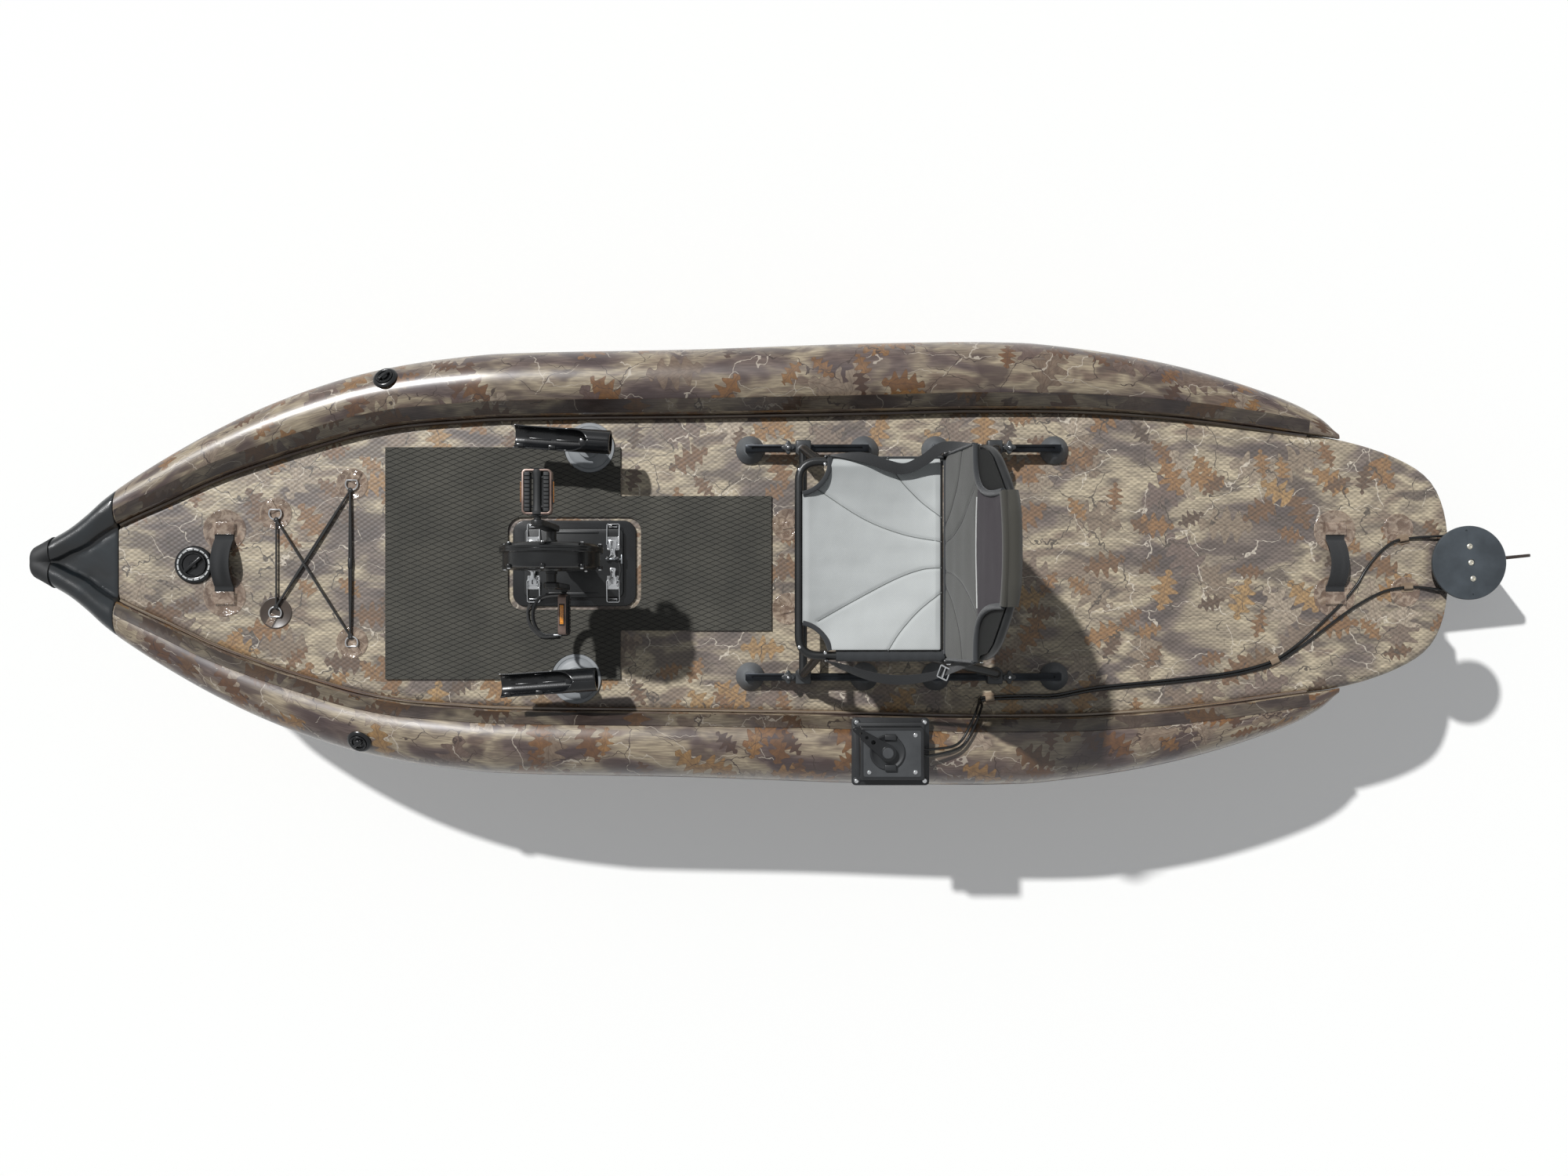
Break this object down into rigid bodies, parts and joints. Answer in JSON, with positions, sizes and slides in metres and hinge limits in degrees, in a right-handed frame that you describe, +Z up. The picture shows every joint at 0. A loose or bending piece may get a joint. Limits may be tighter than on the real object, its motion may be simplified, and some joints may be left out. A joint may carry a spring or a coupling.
{
  "type": "inflatable pedal kayak",
  "caption": "Inflatable camouflage fishing kayak with a stand-up drop-stitch deck, lift-out pedal drive, folding mesh seat on slotted rails, rod holders and a cable-steered rudder",
  "frame": {"origin": "Middle of the flat bottom of the hull, about halfway along its length.", "axes": "+X points to the bow, +Y to port and +Z up."},
  "size_m": [3.7142, 1.064, 1.1085],
  "materials": {
    "camo_vinyl": "satin",
    "black_vinyl": "gloss",
    "eva_foam": "matte",
    "black_plastic": "matte",
    "grey_plastic": "matte",
    "webbing": "woven",
    "cable_sheath": "gloss",
    "anodised_aluminium": "anodised",
    "black_metal": "satin",
    "pale_mesh": "woven",
    "dark_mesh": "woven",
    "steel": "satin",
    "gear_steel": "satin",
    "slate_metal": "satin"
  },
  "bodies": {
    "root": {"drop_stitch_floor": "camo_vinyl", "side_tube_port": "camo_vinyl", "side_tube_starboard": "camo_vinyl", "bow_cap": "black_vinyl", "deck_pad": "eva_foam", "well_frame": "black_plastic", "grab_handle_bow": "webbing", "grab_handle_stern": "webbing", "bungee_cord": "webbing", "seat_rail_front_port": "anodised_aluminium", "seat_rail_front_starboard": "anodised_aluminium", "seat_rail_rear_port": "anodised_aluminium", "seat_rail_rear_starboard": "anodised_aluminium", "rod_base_port": "grey_plastic", "rod_base_starboard": "grey_plastic", "steering_cable_port": "cable_sheath", "steering_cable_starboard": "cable_sheath", "rudder_bracket": "steel", "control_box": "black_plastic", "control_lid": "black_plastic", "deck_valve_seat": "black_plastic", "port_valve_seat": "black_plastic", "starboard_valve_seat": "black_plastic"},
    "drive": {"drive_plate": "black_metal", "gearbox_shell": "black_metal", "gearbox_cover": "black_metal", "drive_leg": "black_metal", "lower_unit": "black_metal"},
    "crank": {"crank": "black_metal", "crown_gear": "gear_steel"},
    "drive_shaft": {"drive_shaft": "gear_steel"},
    "propeller": {"propeller": "black_plastic"},
    "pedal_port": {"pedal_port": "black_plastic"},
    "pedal_starboard": {"pedal_starboard": "black_plastic"},
    "seat": {"seat_frame": "black_metal", "seat_sling": "pale_mesh", "seat_clamp_front_port": "black_plastic", "seat_clamp_front_starboard": "black_plastic", "seat_clamp_rear_port": "black_plastic", "seat_clamp_rear_starboard": "black_plastic"},
    "seat_back": {"back_frame": "black_metal", "back_sling": "dark_mesh"},
    "steering_lever": {"steering_lever": "black_plastic"},
    "rudder_head": {"rudder_head": "slate_metal"},
    "rudder_blade": {"rudder_blade": "slate_metal"},
    "deck_valve_cap": {"deck_valve_cap": "black_plastic"},
    "port_valve_cap": {"port_valve_cap": "black_plastic"},
    "starboard_valve_cap": {"starboard_valve_cap": "black_plastic"},
    "latch_lever_1": {"latch_lever_1": "steel"},
    "latch_bail_1": {"latch_bail_1": "steel"},
    "latch_lever_2": {"latch_lever_2": "steel"},
    "latch_bail_2": {"latch_bail_2": "steel"},
    "latch_lever_3": {"latch_lever_3": "steel"},
    "latch_bail_3": {"latch_bail_3": "steel"},
    "latch_lever_4": {"latch_lever_4": "steel"},
    "latch_bail_4": {"latch_bail_4": "steel"},
    "rod_post_port": {"rod_post_port": "black_plastic"},
    "rod_tray_port": {"rod_tray_port": "black_plastic"},
    "rod_post_starboard": {"rod_post_starboard": "black_plastic"},
    "rod_tray_starboard": {"rod_tray_starboard": "black_plastic"}
  },
  "joints": [
    {"name": "drive_lift", "type": "slide", "parent": "root", "child": "drive", "axis": [0, 0, 1], "range_m": [0, 0.6]},
    {"name": "crank_spin", "type": "hinge", "parent": "drive", "child": "crank", "pos_m": [0.3961, 0, 0.45], "axis": [0, 1, 0], "continuous": true},
    {"name": "shaft_spin", "type": "hinge", "parent": "drive", "child": "drive_shaft", "pos_m": [0.3961, 0, 0.1], "axis": [0, 0, 1], "continuous": true},
    {"name": "prop_spin", "type": "hinge", "parent": "drive", "child": "propeller", "pos_m": [0.3041, 0, -0.215], "axis": [1, 0, 0], "continuous": true},
    {"name": "pedal_port_spin", "type": "hinge", "parent": "crank", "child": "pedal_port", "pos_m": [0.3961, 0.124, 0.295], "axis": [0, 1, 0], "continuous": true},
    {"name": "pedal_starboard_spin", "type": "hinge", "parent": "crank", "child": "pedal_starboard", "pos_m": [0.3961, -0.124, 0.605], "axis": [0, 1, 0], "continuous": true},
    {"name": "latch_1_open", "type": "hinge", "parent": "drive", "child": "latch_lever_1", "pos_m": [0.4909, 0.052, 0.175], "axis": [-1, 0, 0], "range_deg": [0, 120]},
    {"name": "latch_1_bail", "type": "hinge", "parent": "latch_lever_1", "child": "latch_bail_1", "pos_m": [0.4909, 0.042, 0.177], "axis": [-1, 0, 0], "range_deg": [-153, 0]},
    {"name": "latch_2_open", "type": "hinge", "parent": "drive", "child": "latch_lever_2", "pos_m": [0.3013, 0.052, 0.175], "axis": [-1, 0, 0], "range_deg": [0, 120]},
    {"name": "latch_2_bail", "type": "hinge", "parent": "latch_lever_2", "child": "latch_bail_2", "pos_m": [0.3013, 0.042, 0.177], "axis": [-1, 0, 0], "range_deg": [-153, 0]},
    {"name": "latch_3_open", "type": "hinge", "parent": "drive", "child": "latch_lever_3", "pos_m": [0.4909, -0.052, 0.175], "axis": [1, 0, 0], "range_deg": [0, 120]},
    {"name": "latch_3_bail", "type": "hinge", "parent": "latch_lever_3", "child": "latch_bail_3", "pos_m": [0.4909, -0.042, 0.177], "axis": [1, 0, 0], "range_deg": [-153, 0]},
    {"name": "latch_4_open", "type": "hinge", "parent": "drive", "child": "latch_lever_4", "pos_m": [0.3013, -0.052, 0.175], "axis": [1, 0, 0], "range_deg": [0, 120]},
    {"name": "latch_4_bail", "type": "hinge", "parent": "latch_lever_4", "child": "latch_bail_4", "pos_m": [0.3013, -0.042, 0.177], "axis": [1, 0, 0], "range_deg": [-153, 0]},
    {"name": "seat_slide", "type": "slide", "parent": "root", "child": "seat", "axis": [1, 0, 0], "range_m": [-0.11, 0.08]},
    {"name": "back_fold", "type": "hinge", "parent": "seat", "child": "seat_back", "pos_m": [-0.46756, 0, 0.401], "axis": [0, 1, 0], "range_deg": [-10, 58]},
    {"name": "steering_turn", "type": "hinge", "parent": "root", "child": "steering_lever", "pos_m": [-0.34345, 0.43978, 0.278], "axis": [0, 0, 1], "range_deg": [-40, 40]},
    {"name": "rudder_steer", "type": "hinge", "parent": "root", "child": "rudder_head", "pos_m": [-1.734, 0, 0.1], "axis": [0, 0, 1], "range_deg": [-33, 33]},
    {"name": "rudder_kick", "type": "hinge", "parent": "rudder_head", "child": "rudder_blade", "pos_m": [-1.75986, -0.00272, 0.006], "axis": [-0.1045, 0.9945, 0], "range_deg": [0, 85]},
    {"name": "deck_valve_turn", "type": "hinge", "parent": "root", "child": "deck_valve_cap", "pos_m": [1.3005, 0.004, 0.16775], "axis": [-0.0746, 0, 0.9972], "range_deg": [0, 90]},
    {"name": "port_valve_turn", "type": "hinge", "parent": "root", "child": "port_valve_cap", "pos_m": [0.8959, 0.42178, 0.19971], "axis": [0.1105, 0.5059, 0.8555], "range_deg": [0, 90]},
    {"name": "starboard_valve_turn", "type": "hinge", "parent": "root", "child": "starboard_valve_cap", "pos_m": [0.8347, -0.43418, 0.20045], "axis": [0.1152, -0.5063, 0.8546], "range_deg": [0, 90]},
    {"name": "rod_swivel_port", "type": "hinge", "parent": "root", "child": "rod_post_port", "pos_m": [0.3921, 0.277, 0.1746], "axis": [0, 0, 1], "range_deg": [-20, 90]},
    {"name": "rod_tilt_port", "type": "hinge", "parent": "rod_post_port", "child": "rod_tray_port", "pos_m": [0.3921, 0.277, 0.2323], "axis": [0.0698, -0.9976, 0], "range_deg": [0, 60]},
    {"name": "rod_swivel_starboard", "type": "hinge", "parent": "root", "child": "rod_post_starboard", "pos_m": [0.3601, -0.277, 0.1746], "axis": [0, 0, 1], "range_deg": [-90, 20]},
    {"name": "rod_tilt_starboard", "type": "hinge", "parent": "rod_post_starboard", "child": "rod_tray_starboard", "pos_m": [0.3601, -0.277, 0.2323], "axis": [-0.0698, -0.9976, 0], "range_deg": [0, 60]}
  ],
  "couplings": [
    {"joint": "shaft_spin", "follows": "crank_spin", "ratio": 4},
    {"joint": "prop_spin", "follows": "crank_spin", "ratio": 8},
    {"joint": "latch_1_bail", "follows": "latch_1_open", "ratio": -1.27},
    {"joint": "latch_2_bail", "follows": "latch_2_open", "ratio": -1.27},
    {"joint": "latch_3_bail", "follows": "latch_3_open", "ratio": -1.27},
    {"joint": "latch_4_bail", "follows": "latch_4_open", "ratio": -1.27},
    {"joint": "rudder_steer", "follows": "steering_turn", "ratio": 0.8}
  ]
}
